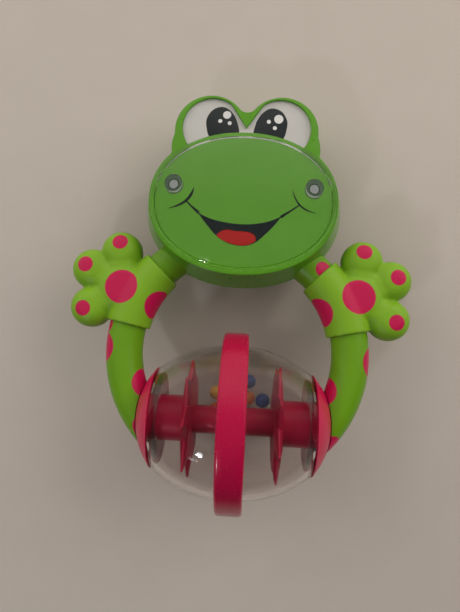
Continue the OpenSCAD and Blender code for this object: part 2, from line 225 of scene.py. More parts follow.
def dots_mask(nodes, links, dots):
    """1 inside the printed dots, each ((x, y, z), radius) in millimetres in the rattle's frame."""
    position = nodes.new("ShaderNodeTexCoord").outputs["Object"]
    total = None
    soft = 0.12
    for centre, radius in dots:
        distance = nodes.new("ShaderNodeVectorMath")
        distance.operation = "DISTANCE"
        links.new(position, distance.inputs[0])
        distance.inputs[1].default_value = TO_ROW @ Vector(centre)
        edge = nodes.new("ShaderNodeMapRange")
        edge.inputs["From Min"].default_value = (radius - soft) * MM
        edge.inputs["From Max"].default_value = (radius + soft) * MM
        edge.inputs["To Min"].default_value = 1.0
        edge.inputs["To Max"].default_value = 0.0
        links.new(distance.outputs["Value"], edge.inputs["Value"])
        if total is None:
            total = edge.outputs["Result"]
        else:
            most = nodes.new("ShaderNodeMath")
            most.operation = "MAXIMUM"
            links.new(total, most.inputs[0])
            links.new(edge.outputs["Result"], most.inputs[1])
            total = most.outputs[0]
    return total


def moulded(name, colour, roughness=0.3, grain=0.02, subsurface=0.0, coat=0.0, dots=(), dot_colour=None):
    """Moulded plastic or rubber: a faint mottle, uneven gloss, fine grain and paler worn edges."""
    material, nodes, links, shader = new_material(name)
    mottle = noise(nodes, links, 90.0)
    base = mix_colours(nodes, links, mottle, shade(colour, 0.93), shade(colour, 1.07))
    wear = nodes.new("ShaderNodeMapRange")
    wear.inputs["From Min"].default_value = 0.54
    wear.inputs["From Max"].default_value = 0.66
    wear.inputs["To Max"].default_value = 0.06
    links.new(nodes.new("ShaderNodeNewGeometry").outputs["Pointiness"], wear.inputs["Value"])
    pale = tuple(0.7 * c + 0.3 * max(colour) for c in shade(colour, 1.15))
    base = mix_colours(nodes, links, wear.outputs["Result"], base, pale)
    if dots:
        base = mix_colours(nodes, links, dots_mask(nodes, links, dots), base, dot_colour)
    links.new(base, shader.inputs["Base Color"])
    gloss = noise(nodes, links, 700.0, 4.0)
    links.new(remap(nodes, links, gloss, roughness - 0.04, roughness + 0.06), shader.inputs["Roughness"])
    bump = nodes.new("ShaderNodeBump")
    bump.inputs["Strength"].default_value = grain
    bump.inputs["Distance"].default_value = 0.0004
    links.new(noise(nodes, links, 2200.0, 3.0), bump.inputs["Height"])
    links.new(bump.outputs["Normal"], shader.inputs["Normal"])
    shader.inputs["Coat Weight"].default_value = coat
    shader.inputs["Coat Roughness"].default_value = 0.08
    if subsurface:
        shader.inputs["Subsurface Weight"].default_value = subsurface
        shader.inputs["Subsurface Radius"].default_value = colour
        shader.inputs["Subsurface Scale"].default_value = 0.003
    return material


def clear_plastic(name, tint, roughness=0.02):
    """Clear moulded plastic that lets lamps and bounced light through to what is inside."""
    material, nodes, links, shader = new_material(name)
    haze = noise(nodes, links, 260.0, 3.0)
    links.new(remap(nodes, links, haze, roughness, roughness + 0.03), shader.inputs["Roughness"])
    colour = mix_colours(nodes, links, haze, tint, shade(tint, 0.985))
    links.new(colour, shader.inputs["Base Color"])
    shader.inputs["Transmission Weight"].default_value = 1.0
    shader.inputs["IOR"].default_value = 1.49
    bump = nodes.new("ShaderNodeBump")
    bump.inputs["Strength"].default_value = 0.06
    bump.inputs["Distance"].default_value = 0.0006
    links.new(noise(nodes, links, 70.0), bump.inputs["Height"])
    links.new(bump.outputs["Normal"], shader.inputs["Normal"])
    through = nodes.new("ShaderNodeBsdfTransparent")
    through.inputs["Color"].default_value = (*shade(tint, 0.97), 1)
    path = nodes.new("ShaderNodeLightPath")
    either = nodes.new("ShaderNodeMath")
    either.operation = "MAXIMUM"
    links.new(path.outputs["Is Shadow Ray"], either.inputs[0])
    links.new(path.outputs["Is Diffuse Ray"], either.inputs[1])
    mix = nodes.new("ShaderNodeMixShader")
    links.new(either.outputs[0], mix.inputs[0])
    links.new(shader.outputs[0], mix.inputs[1])
    links.new(through.outputs[0], mix.inputs[2])
    links.new(mix.outputs[0], nodes["Material Output"].inputs["Surface"])
    return material


def steel():
    material, nodes, links, shader = new_material("plated_steel")
    shader.inputs["Metallic"].default_value = 0.4
    streaks = noise(nodes, links, 1500.0, 4.0)
    colour = mix_colours(nodes, links, streaks, (0.34, 0.36, 0.36), (0.48, 0.50, 0.50))
    links.new(colour, shader.inputs["Base Color"])
    links.new(remap(nodes, links, streaks, 0.22, 0.4), shader.inputs["Roughness"])
    return material


GREEN = (0.125, 0.300, 0.006)
HEAD_GREEN = (0.090, 0.280, 0.012)
HAND_GREEN = (0.185, 0.375, 0.014)
PINK = (0.420, 0.002, 0.045)
DOT_PINK = (0.480, 0.004, 0.065)
CAP_PINK = (0.500, 0.004, 0.060)

MATERIALS = {}


def make_materials():
    ring_dots = [(on_ring(along, around), r) for along, around, r in RING_DOTS]
    hand_dots = [((side * x, y, z), r) for side in (-1, 1) for x, y, z, r in HAND_DOTS]
    MATERIALS.update(
        head=moulded("head_green", HEAD_GREEN, 0.28, coat=0.3),
        ring=moulded("ring_green", GREEN, 0.36, dots=ring_dots, dot_colour=DOT_PINK),
        hand=moulded("hand_green", HAND_GREEN, 0.45, 0.04, 0.1, dots=hand_dots, dot_colour=DOT_PINK),
        band=moulded("band_pink", PINK, 0.25, 0.03, coat=0.2),
        cap=moulded("cap_pink", CAP_PINK, 0.3),
        wheel=moulded("wheel_pink", (0.42, 0.012, 0.055), 0.35, subsurface=0.2),
        card=moulded("card_white", (0.55, 0.52, 0.50), 0.55),
        print_green=moulded("print_green", (0.105, 0.300, 0.020), 0.5),
        print_black=moulded("print_black", (0.012, 0.016, 0.018), 0.4),
        # painted shade: dark green-grey colour that stands in for the dark gap seen round each screw
        # through its clear boss
        print_shade=moulded("print_shade", (0.075, 0.110, 0.070), 0.5),
        print_red=moulded("print_red", (0.42, 0.004, 0.002), 0.45),
        print_white=moulded("print_white", (0.72, 0.70, 0.70), 0.5),
        cover=clear_plastic("clear_cover", (0.97, 0.99, 0.975)),
        ball=clear_plastic("clear_ball", (0.915, 0.875, 0.865)),
        blue=moulded("bead_blue", (0.018, 0.045, 0.200), 0.3),
        orange=moulded("bead_orange", (0.600, 0.130, 0.008), 0.3),
        yellow=moulded("bead_yellow", (0.650, 0.360, 0.012), 0.3),
        steel=steel(),
    )


# Printed dots on the ring as (angle along the ring, angle round its tube from outside over the
# front, radius), with angles in degrees from the +X axis and the radius in millimetres.
RING_DOTS = (
    (46.0, 74.0, 3.3), (-1.5, 12.0, 5.9), (-21.5, 166.0, 5.9), (-42.0, 40.0, 4.5),
    (170.5, 20.0, 3.6), (180.5, 20.0, 5.9), (201.5, 160.0, 5.9), (222.0, 90.0, 5.0),
)
# Dots on a hand as (x, y, z, radius) on the +X side, in the rattle's frame.
HAND_DOTS = (
    (46.8, 51.0, 7.2, 6.8),
    (48.9, 69.3, 6.8, 3.15),
    (62.3, 59.5, 6.8, 3.15),
    (61.9, 41.7, 6.8, 3.15),
    (33.0, 44.6, 3.0, 6.1),
)


def on_ring(along, around):
    """Point on the ring's tube."""
    a, b = math.radians(along), math.radians(around)
    reach = RING_R + TUBE_R * math.cos(b)
    return (reach * math.cos(a), RING_Y + reach * math.sin(a), TUBE_R * math.sin(b))


# ---- mesh tools -------------------------------------------------------------------------


def new_object(name, points, faces):
    mesh = bpy.data.meshes.new(name)
    mesh.from_pydata([tuple(map(float, p)) for p in points], [], faces)
    tidy = bmesh.new()
    tidy.from_mesh(mesh)
    bmesh.ops.remove_doubles(tidy, verts=tidy.verts, dist=1e-5)
    bmesh.ops.recalc_face_normals(tidy, faces=tidy.faces)
    tidy.to_mesh(mesh)
    tidy.free()
    made = bpy.data.objects.new(name, mesh)
    bpy.context.scene.collection.objects.link(made)
    return made


def loft(name, rings, closed=False):
    """Skin through rings of equal length; closed joins the last to the first, else both are capped."""
    count = len(rings[0])
    points = np.concatenate(rings)
    pairs = [(k, (k + 1) % len(rings)) for k in range(len(rings) if closed else len(rings) - 1)]
    faces = [
        (a * count + i, a * count + (i + 1) % count, b * count + (i + 1) % count, b * count + i)
        for a, b in pairs
        for i in range(count)
    ]
    if not closed:
        last = (len(rings) - 1) * count
        faces += [tuple(range(count)), tuple(last + i for i in range(count))]
    return new_object(name, points, faces)


def revolve(name, profile, segments=128, closed=True):
    """Turns a profile of (radius, x) points round the X axis."""
    angles = np.linspace(0, 2 * math.pi, segments, endpoint=False)
    circle = np.stack([np.zeros(segments), np.cos(angles), np.sin(angles)], 1)
    rings = [circle * r + np.array([x, 0, 0]) for r, x in profile]
    return loft(name, rings, closed)


def rounded(corners, steps=5):
    """Closed outline through corners given as (a, b, fillet radius)."""
    points = []
    count = len(corners)
    for i, (a, b, fillet) in enumerate(corners):
        here = np.array([a, b], float)
        before = np.array(corners[i - 1][:2], float) - here
        after = np.array(corners[(i + 1) % count][:2], float) - here
        reach = min(np.linalg.norm(before), np.linalg.norm(after)) * 0.49
        if fillet <= 0 or reach < 1e-6:
            points.append(here)
            continue
        before /= np.linalg.norm(before)
        after /= np.linalg.norm(after)
        half = math.acos(np.clip(before @ after, -1, 1)) / 2
        back = min(fillet / max(math.tan(half), 1e-6), reach)
        start, end = here + before * back, here + after * back
        for t in np.linspace(0, 1, steps + 1):
            points.append((1 - t) ** 2 * start + 2 * t * (1 - t) * here + t**2 * end)
    return points


def arc(centre, radius, start, end, steps):
    """Points of an arc, with angles in degrees."""
    angles = np.radians(np.linspace(start, end, steps + 1))
    return [(centre[0] + radius * math.cos(t), centre[1] + radius * math.sin(t)) for t in angles]


def evaluated(piece):
    bpy.context.view_layer.update()
    return bpy.data.meshes.new_from_object(piece.evaluated_get(bpy.context.evaluated_depsgraph_get()))


def apply_modifiers(piece):
    mesh = evaluated(piece)
    piece.modifiers.clear()
    piece.data = mesh


def combine(piece, tools, operation):
    """Boolean of piece with each tool, which is then removed."""
    for tool in tools:
        modifier = piece.modifiers.new("combine", "BOOLEAN")
        modifier.operation = operation
        modifier.solver = "EXACT"
        modifier.object = tool
        apply_modifiers(piece)
        bpy.data.objects.remove(tool)
    return piece


def mirror_x(piece):
    piece.data.transform(Matrix.Scale(-1, 4, (1, 0, 0)))
    piece.data.flip_normals()
    return piece


def place(piece, material, body, slot, *nodes, crease=40):
    """Moves a finished piece into the row frame and gives it its looks and its body."""
    piece.data.transform(TO_ROW)
    piece.data.materials.clear()
    piece.data.materials.append(MATERIALS[material])
    piece.data.shade_smooth()
    piece.data.set_sharp_from_angle(angle=math.radians(crease))
    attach(piece, body)
    if nodes:
        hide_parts(*nodes)
    return piece


def torus_part(name, radius, start, end, steps=160, around=64, outline=None):
    """Stretch of the ring's tube between two angles in degrees; outline is its (out, z) section."""
    if outline is None:
        outline = arc((0, 0), radius, 0, 360 - 360 / around, around - 1)
    rings = []
    for angle in np.radians(np.linspace(start, end, steps + 1)):
        out = np.array([math.cos(angle), math.sin(angle), 0])
        middle = np.array([0, RING_Y, 0]) + RING_R * out
        rings.append(np.array([middle + a * out + np.array([0, 0, b]) for a, b in outline]))
    return loft(name, rings)


def turned_z(name, x, y, levels, around):
    """Upright turned solid; levels are (radius, height)."""
    angles = np.linspace(0, 2 * math.pi, around, endpoint=False)
    circle = np.stack([np.cos(angles), np.sin(angles), np.zeros(around)], 1)
    return loft(name, [circle * r + np.array([x, y, z]) for r, z in levels])


def rod_z(name, x, y, radius, low, high, around=48, bevel=0.0):
    """Upright cylinder with its ends bevelled."""
    levels = [(radius, low + bevel), (radius, high - bevel)]
    if bevel:
        levels = [(radius - bevel, low), *levels, (radius - bevel, high)]
    return turned_z(name, x, y, levels, around)


# ---- head -------------------------------------------------------------------------------


def oval_points(rx, ry, count):
    """Points of a superellipse round the face's middle."""
    angles = np.linspace(0, 2 * math.pi, count, endpoint=False)
    c, s = np.cos(angles), np.sin(angles)
    x = rx * np.sign(c) * np.abs(c) ** (2 / OVAL_POWER)
    y = ry * np.sign(s) * np.abs(s) ** (2 / OVAL_POWER)
    return np.column_stack([x, FACE_Y + y])


def oval_distance(x, y, rx, ry):
    """Roughly how far a point is outside a superellipse round the face's middle."""
    a, b = np.abs(x) / rx, np.abs(y - FACE_Y) / ry
    level = (a**OVAL_POWER + b**OVAL_POWER) ** (1 / OVAL_POWER)
    distance = np.hypot(x, y - FACE_Y)
    return distance * (1 - 1 / np.maximum(level, 1e-6))


def smooth_least(a, b, blend):
    """The lesser of two distances, with the corner between them rounded."""
    mix = np.clip(0.5 + 0.5 * (b - a) / blend, 0, 1)
    return b + (a - b) * mix - blend * mix * (1 - mix)


FAR = 100.0  # further than any point of the head's outline is from its middle


def head_distance(x, y, oval_in=0.0, lobe_in=0.0):
    """How far a point is outside the head's outline, with its oval and its eye lobes drawn in.

    A round notch lies between the lobes: its circle touches both of them, and the web below
    it fills the space between the lines from its middle to theirs.
    """
    x = np.abs(x)
    radius, rise = EYE_R - lobe_in, NOTCH_Y - EYE[1]
    notch_r = (EYE[0] ** 2 + rise**2 - radius**2) / (2 * (radius - rise))
    notch_y = NOTCH_Y + notch_r
    eyes = np.hypot(x - EYE[0], y - EYE[1])
    cheeks = np.hypot(x - EYE_LOW[0], y - EYE_LOW[1])
    lobes = np.minimum(eyes, cheeks) - radius
    between = (y > EYE[1]) & (x / EYE[0] + (y - EYE[1]) / (notch_y - EYE[1]) < 1)
    web = np.where(between, notch_r - np.hypot(x, y - notch_y), FAR)
    oval = oval_distance(x, y, HEAD_RX - oval_in, HEAD_RY - oval_in)
    return smooth_least(np.minimum(lobes, web), oval, 0.6)


def face_distance(x, y):
    """How far a point is outside the opening for the face cover.

    A strip fills the space between the whites of the eyes, and a wedge parts them from above.
    """
    x = np.abs(x)
    strip_half_w, strip_top_y = 4.0, WEDGE_LOW_Y + 3.0
    whites = np.hypot(x - WHITE[0], y - WHITE[1]) - WHITE_R
    strip = np.maximum(x - strip_half_w, np.maximum(y - strip_top_y, FACE_Y - y))
    whites = np.minimum(whites, strip)
    wedge = ((y - WEDGE_LOW_Y) * WEDGE[0] - x * WEDGE[1]) / math.hypot(*WEDGE)
    return smooth_least(np.maximum(whites, wedge), oval_distance(x, y, COVER_RX, COVER_RY), 0.6)


OUTLINE_MIDDLE = (0.0, 98.0)
OUTLINE_STEPS = 360


def outline(distance, grow):
    """Points of the curve that lies grow outside the shape that distance describes."""
    angles = np.linspace(0, 2 * math.pi, OUTLINE_STEPS, endpoint=False)
    ways = np.stack([np.cos(angles), np.sin(angles)], 1)
    low, high = np.zeros(OUTLINE_STEPS), np.full(OUTLINE_STEPS, 70.0)
    for _ in range(40):
        reach = (low + high) / 2
        x, y = (OUTLINE_MIDDLE + reach[:, None] * ways).T
        inside = distance(x, y) < grow
        low, high = np.where(inside, reach, low), np.where(inside, high, reach)
    return OUTLINE_MIDDLE + low[:, None] * ways


def ring_at(points, z):
    return np.column_stack([points, np.full(len(points), z)])


def ring_cutter():
    return torus_part("cutter", TUBE_R + 0.1, 20, 160, 96, 64)


def head_back():
    """Deep dish with rounded edges, screw posts inside and screw recesses in its flat back."""
    edge = 8.0
    # Levels are (drawn in, height).
    outer = [(0.3, 0.0), (0.0, -0.5), (0.5, -4.0)]
    for turn in np.radians(np.linspace(0, 90, 9)):
        drawn, depth = 0.8 + edge * (1 - math.cos(turn)), edge * (1 - math.sin(turn)) - BACK_DEPTH
        outer.append((drawn, depth))
    inner = [(d + HEAD_WALL, z + HEAD_WALL) for d, z in reversed(outer[3:])]
    inner += [(HEAD_WALL + 0.3, 0.0)]
    back_outer = [ring_at(outline(head_distance, -d), z) for d, z in outer]
    back_inner = [ring_at(outline(head_distance, -d), z) for d, z in inner]
    shell = loft("head_back", back_outer + [shrunk(back_outer[-1], s) for s in (0.6, 0.2)])
    hollow_rings = [shrunk(back_inner[0], s) for s in (0.2, 0.6)] + back_inner
    hollow_rings.append(back_inner[-1] + np.array([0, 0, 1.0]))
    combine(shell, [loft("hollow", hollow_rings)], "DIFFERENCE")
    posts, recesses, holes = [], [], []
    for side in (-1, 1):
        x = side * SCREW_X
        posts.append(rod_z("post", x, SCREW_Y, POST_R, 0.5 - BACK_DEPTH, POST_TOP, bevel=0.3))
        recesses.append(rod_z("recess", x, SCREW_Y, SCREW_HEAD_R + 0.3, -BACK_DEPTH - 1, RECESS_TOP))
        holes.append(rod_z("hole", x, SCREW_Y, SCREW_R + 0.2, -BACK_DEPTH, 0))
    combine(shell, posts, "UNION")
    combine(shell, recesses + holes + [ring_cutter()], "DIFFERENCE")
    place(shell, "head", "frame", "head_green", "head_back_shell")


def shrunk(ring, share):
    """The same ring drawn in towards its middle."""
    middle = np.array([*OUTLINE_MIDDLE, ring[0][2]])
    return middle + (ring - middle) * share


def head_ring(oval_in, lobe_in, z, grow=0.0):
    """Ring of the head's outline at height z, drawn in at the oval and at the lobes."""
    points = outline(lambda x, y: head_distance(x, y, oval_in, lobe_in), grow)
    return ring_at(points, z)


def head_front():
    """Rim that holds the face: outer wall, rounded lip, opening with a ledge, open behind."""
    lip = 0.4
    # Walls are (oval drawn in, lobes drawn in, height).
    walls = [(0.3, 0.3, 0.0), (0.0, 0.0, 0.5), (0.9, 0.25, 4.0), (1.8, 0.5, 8.0), (2.5, 0.65, 11.0)]
    walls.append((2.9, 0.75, FRONT_DEPTH - 1.2))
    rings = [head_ring(*wall) for wall in walls]
    for t in (0.3, 0.8, 1.25):
        drop = lip * (1 - math.cos(t))
        rings.append(head_ring(3.0 + drop, 0.8 + drop, FRONT_DEPTH - lip + lip * math.sin(t)))
    opening = [(-0.2, FRONT_DEPTH), (-0.05, FRONT_DEPTH - 0.2), (0.0, FRONT_DEPTH - 0.5), (0.0, CARD_Z)]
    opening += [(LEDGE, CARD_Z), (LEDGE, CARD_Z - LEDGE_T)]
    rings += [ring_at(outline(face_distance, -d), z) for d, z in opening]
    inside = [(2.2, 0.6, CARD_Z - LEDGE_T), (0.9, 0.25, 4.0), (0.3, 0.1, 0.0)]
    rings += [head_ring(*wall, grow=-HEAD_WALL) for wall in inside]
    front = loft("head_front", rings, closed=True)
    combine(front, [ring_cutter()], "DIFFERENCE")
    place(front, "head", "frame", "head_green", "head_front_frame")


def cover_dome(name, inset):
    """Raised oval of the face cover, drawn in by inset all round; levels are (drawn in, height)."""
    levels = [(0, COVER_Z), (0, 13.9), (0.15, 14.5), (0.6, 15.0), (1.4, 15.35), (3, 15.75), (6, 16.3)]
    levels += [(10, 16.8), (15, 17.2), (20, 17.42), (24, COVER_TOP)]
    rings = []
    for drawn, z in levels:
        inwards = 0.1 + inset + drawn
        rings.append(ring_at(oval_points(COVER_RX - inwards, COVER_RY - inwards, 192), z - inset))
    return loft(name, rings)


def cheek_bump(side):
    """Round clear bump over a screw boss."""
    levels = [(CHEEK_R + 0.5, 14.0), (CHEEK_R + 0.1, 14.8), (CHEEK_R, 15.6), (CHEEK_R - 0.25, 16.1)]
    levels += [(CHEEK_R - 0.8, 16.4), (CHEEK_R - 2.0, CHEEK_TOP), (1.5, CHEEK_TOP + 0.1)]
    return turned_z("bump", side * SCREW_X, SCREW_Y, levels, 72)


def face_cover():
    """Clear cover: flat plate, raised oval with a hollow under it, and bosses for the screws."""
    edge = 0.3
    top = COVER_Z + PLATE_T
    # The plate starts a little inside the card, so that no two faces lie in one plane.
    levels = [(-0.1, COVER_Z - 0.1), (-0.1, top - edge), (-0.1 - edge, top)]
    cover = loft("clear_face_cover", [ring_at(outline(face_distance, d), z) for d, z in levels])
    combine(cover, [cover_dome("dome", 0.0)], "UNION")
    combine(cover, [cheek_bump(s) for s in (-1, 1)], "UNION")
    combine(cover, [cover_dome("hollow", COVER_WALL)], "DIFFERENCE")
    bosses, holes = [], []
    for side in (-1, 1):
        x = side * SCREW_X
        bosses.append(rod_z("boss", x, SCREW_Y, CHEEK_BOSS_R, POST_TOP + 0.1, CHEEK_TOP - 0.8))
        holes.append(rod_z("hole", x, SCREW_Y, SCREW_R + FIT, POST_TOP - 1, SCREW_TIP + 1, 32))
    combine(cover, bosses, "UNION")
    combine(cover, holes, "DIFFERENCE")
    place(cover, "cover", "frame", "clear_cover", "face_cover", crease=50)


# ---- printed face -----------------------------------------------------------------------


def spline(points, closed=True, steps=8):
    """Smooth curve through points."""
    p = np.array(points, float)
    count = len(p)
    if not closed:
        p = np.vstack([2 * p[0] - p[1], p, 2 * p[-1] - p[-2]])
    made = []
    for i in range(count if closed else count - 1):
        a, b, c, d = (p[(i + k - 1) % count] if closed else p[i + k] for k in range(4))
        for t in np.linspace(0, 1, steps, endpoint=False):
            square, cube = 2 * a - 5 * b + 4 * c - d, 3 * b - a - 3 * c + d
            made.append(0.5 * (2 * b + (c - a) * t + square * t**2 + cube * t**3))
    if not closed:
        made.append(p[-2])
    return [tuple(q) for q in made]


def stroke(points, widths):
    """Outline of a brush line along points that is as wide as widths says at each."""
    line = np.array(spline(points, closed=False))
    along = np.linspace(0, len(widths) - 1, len(line))
    half = np.interp(along, range(len(widths)), widths)[:, None] / 2
    step = np.gradient(line, axis=0)
    normal = np.column_stack([-step[:, 1], step[:, 0]]) / np.linalg.norm(step, axis=1)[:, None]
    return [tuple(q) for q in np.vstack([line + normal * half, (line - normal * half)[::-1]])]


def circle_at(x, y, radius, count=40):
    return arc((x, y), radius, 0, 360 - 360 / count, count - 1)


def plate(name, outlines, low, high):
    """Flat piece with upright sides; outlines inside other outlines are holes."""
    curve = bpy.data.curves.new(name, "CURVE")
    curve.dimensions = "2D"
    curve.fill_mode = "BOTH"
    curve.extrude = (high - low) / 2
    for points in outlines:
        line = curve.splines.new("POLY")
        line.points.add(len(points) - 1)
        for point, (x, y) in zip(line.points, points):
            point.co = (x, y, 0, 1)
        line.use_cyclic_u = True
    flat = bpy.data.objects.new(name + "_curve", curve)
    bpy.context.scene.collection.objects.link(flat)
    mesh = evaluated(flat)
    mesh.transform(Matrix.Translation((0, 0, (low + high) / 2)))
    bpy.data.objects.remove(flat)
    tidy = bmesh.new()
    tidy.from_mesh(mesh)
    bmesh.ops.remove_doubles(tidy, verts=tidy.verts, dist=1e-5)
    tidy.to_mesh(mesh)
    tidy.free()
    made = bpy.data.objects.new(name, mesh)
    bpy.context.scene.collection.objects.link(made)
    return made


INK = 0.03
PUPIL = ((10.0, 124.5), (13.8, 123.1), (16.0, 119.4), (15.8, 115.4), (14.3, 111.8), (9.0, 109.8),
         (3.6, 110.9), (2.8, 114.2), (4.1, 119.0), (6.6, 122.8))
HIGHLIGHTS = ((-8.0, 121.2, 1.6), (-10.6, 118.6, 0.8), (-6.8, 117.8, 0.8),
              (12.6, 120.1, 1.8), (8.7, 118.9, 0.8), (11.2, 116.4, 0.8))
MOUTH_TOP = ((-17.6, 80.8), (-12.5, 78.6), (-5.9, 77.2), (1.8, 76.8), (9.3, 78.0), (15.2, 80.4))
MOUTH_BOTTOM = ((15.2, 80.4), (12.6, 76.8), (9.5, 73.4), (5.9, 70.0), (2.7, 68.5), (-0.9, 68.2),
                (-5.4, 69.2), (-9.6, 71.7), (-13.4, 75.7), (-17.6, 80.8))
TONGUE = ((-9.5, 71.7), (-8.1, 73.5), (-5.7, 74.4), (-2.4, 73.9), (0.3, 73.9), (3.0, 73.6),
          (5.0, 72.5), (5.5, 70.4), (2.6, 68.7), (-0.9, 68.4), (-5.4, 69.4))
LIP_LINES = (
    (((-22.4, 85.4), (-20.1, 83.2), (-17.1, 80.7)), (0.5, 0.7, 1.3)),
    (((22.1, 85.3), (18.5, 82.7), (14.9, 80.2)), (0.5, 0.7, 1.2)),
    (((-19.5, 91.0), (-20.5, 88.1), (-22.4, 85.4), (-25.4, 83.4), (-29.1, 82.0)),
     (0.2, 1.1, 1.1, 0.8, 0.2)),
    (((19.2, 91.0), (20.2, 88.2), (22.1, 85.3), (24.8, 83.4), (28.5, 82.2)),
     (0.2, 0.5, 0.7, 0.6, 0.2)),
)


def printed_face():
    """White card with the green face, pupils, mouth and tongue printed on it in thin layers."""
    boss_holes = [circle_at(s * SCREW_X, SCREW_Y, CHEEK_BOSS_R + 0.1) for s in (-1, 1)]
    edge = [tuple(point) for point in outline(face_distance, -0.15)]
    card = plate("face_card_print", [edge] + boss_holes, CARD_Z, COVER_Z)
    place(card, "card", "frame", "card", "face_card")
    oval = [tuple(point) for point in oval_points(COVER_RX - 0.2, COVER_RY - 0.2, 160)]
    pupils = [spline(PUPIL), spline([(-x, y) for x, y in PUPIL])]
    mouth = spline(MOUTH_TOP, closed=False) + spline(MOUTH_BOTTOM, closed=False)[1:-1]
    layers = (
        ("print_pupils", "print_black", pupils, 0),
        ("print_highlights", "print_white", [circle_at(x, y, r) for x, y, r in HIGHLIGHTS], 1),
        ("print_face", "print_green", [oval] + boss_holes, 2),
        ("print_mouth", "print_black", [mouth], 3),
        ("print_tongue", "print_red", [spline(TONGUE)], 4),
    )
    for name, material, outlines, level in layers:
        low = COVER_Z + level * INK
        place(plate(name, outlines, low, low + INK), material, "frame", "card")
    for name, side in SIDES.items():
        # Under each boss a thin ring of painted shade stands in for the dark gap round the screw, with a
        # steel disc for the screw's end in its middle.
        middle = (side * SCREW_X, SCREW_Y)
        edges = [circle_at(*middle, CHEEK_BOSS_R), circle_at(*middle, SCREW_SHADE_R)]
        shade_ring = plate(f"boss_shade_{name}", edges, COVER_Z, COVER_Z + INK)
        place(shade_ring, "print_shade", "frame", "card")
        screw_end = plate(f"screw_end_{name}", [circle_at(*middle, SCREW_END_R)], COVER_Z, COVER_Z + INK)
        place(screw_end, "steel", "frame", "steel")
    for i, (points, widths) in enumerate(LIP_LINES):
        low = COVER_Z + 3 * INK
        line = plate(f"print_line_{i + 1}", [stroke(points, widths)], low, low + INK)
        place(line, "print_black", "frame", "card")


# ---- screws and pins --------------------------------------------------------------------


def screws():
    """Pan-head screws with a cross recess and a cut thread."""
    pitch, depth, around = 0.9, 0.28, 24
    slot_l, slot_w = 3.2, 0.7
    angles = np.linspace(0, 2 * math.pi, around, endpoint=False)
    low = RECESS_TOP - 1.8
    for name, side in SIDES.items():
        rings = []
        for z in np.arange(RECESS_TOP - 0.2, SCREW_TIP - 1.2, pitch / 8):
            phase = (z / pitch - angles / (2 * math.pi)) % 1.0
            r = SCREW_R - depth * np.abs(2 * phase - 1)
            rings.append(np.column_stack([r * np.cos(angles), r * np.sin(angles), np.full(around, z)]))
        last = rings[-1]
        for share, drop in ((0.75, 0.8), (0.4, 0.3), (0.1, 0.0)):
            rings.append(shrink_ring(last, share, SCREW_TIP - drop))
        screw = loft(f"cheek_screw_{name}", rings)
        steps = [(0.75, low), (0.95, low + 0.35), (1.0, low + 0.9)]
        steps += [(1.0, RECESS_TOP - 0.1), (0.97, RECESS_TOP)]
        head = turned_z("head", 0, 0, [(SCREW_HEAD_R * share, z) for share, z in steps], 48)
        combine(screw, [head], "UNION")
        bars = [bar("bar", *size, low - 0.1, low + 1.0) for size in ((slot_l, slot_w), (slot_w, slot_l))]
        combine(screw, bars, "DIFFERENCE")
        screw.data.transform(Matrix.Translation((side * SCREW_X, SCREW_Y, 0)))
        place(screw, "steel", "frame", "steel", "head_screws")


def shrink_ring(ring, share, z):
    """The same ring drawn in towards the Z axis and moved to height z."""
    moved = ring * np.array([share, share, 0])
    moved[:, 2] = z
    return moved


def bar(name, width, depth, low, high):
    """Upright block round the Z axis."""
    x, y = width / 2, depth / 2
    corners = np.array([(x, y, 0), (-x, y, 0), (-x, -y, 0), (x, -y, 0)])
    return loft(name, [corners + np.array([0, 0, z]) for z in (low, high)])


def pins():
    """Headed pivot pins with turned edges."""
    profile = [(CENTRE, PIN_FROM), (PIN_R - 0.3, PIN_FROM), (PIN_R, PIN_FROM + 0.3)]
    profile += [(PIN_R, PIN_NECK - 0.1), (PIN_R + 0.1, PIN_NECK)]
    profile += [(PIN_HEAD_R - 0.2, PIN_NECK), (PIN_HEAD_R, PIN_NECK + 0.2)]
    profile += [(PIN_HEAD_R, PIN_TO - 0.2), (PIN_HEAD_R - 0.2, PIN_TO), (CENTRE, PIN_TO)]
    for name, side in SIDES.items():
        pin = revolve(f"pin_{name}", profile, 64, closed=False)
        if side < 0:
            mirror_x(pin)
        place(pin, "steel", "frame", "steel", f"pivot_pin_{name}")


# ---- ring and hands ---------------------------------------------------------------------


def half_section(radius, side, seam=0.0):
    """Half of the tube's section, as (out, z) points, with the seam's edge eased."""
    ease = math.degrees(seam / radius)
    start, end = (ease, 180 - ease) if side > 0 else (180 + ease, 360 - ease)
    points = arc((0, 0), radius, start, end, 40)
    flat = side * (radius - seam)
    return points + [(-flat, 0.0), (flat, 0.0)]


def ball_space(gap):
    """Space round the ball and its caps, on the +X side."""
    rim = math.degrees(math.acos(CAP_R / CAP_SPHERE_R))
    dome = [(r, x) for r, x in arc((0, CAP_SPHERE_X), CAP_SPHERE_R + gap, rim, 89.9, 24)]
    profile = [(CENTRE, 0), (BALL_R + gap, 0), (CAP_R + gap, CAP_X), *dome, (CENTRE, CAP_TOP_X + gap)]
    return revolve("space", profile, 128, closed=False)


def pin_hole():
    """Hole for a pin's shaft and its head."""
    shaft, head, start, end = PIN_R + FIT, PIN_HEAD_R + FIT, 25, PIN_TO + FIT
    profile = [(CENTRE, start), (shaft, start), (shaft, PIN_NECK)]
    profile += [(head, PIN_NECK), (head, end), (CENTRE, end)]
    return revolve("pin_hole", profile, 64, False)


def pin_boss():
    """Solid stretch round a pin inside the ring's hollow end."""
    return revolve("boss", [(CENTRE, 30), (PIN_BOSS_R, 30), (PIN_BOSS_R, 50), (CENTRE, 50)], 64, False)


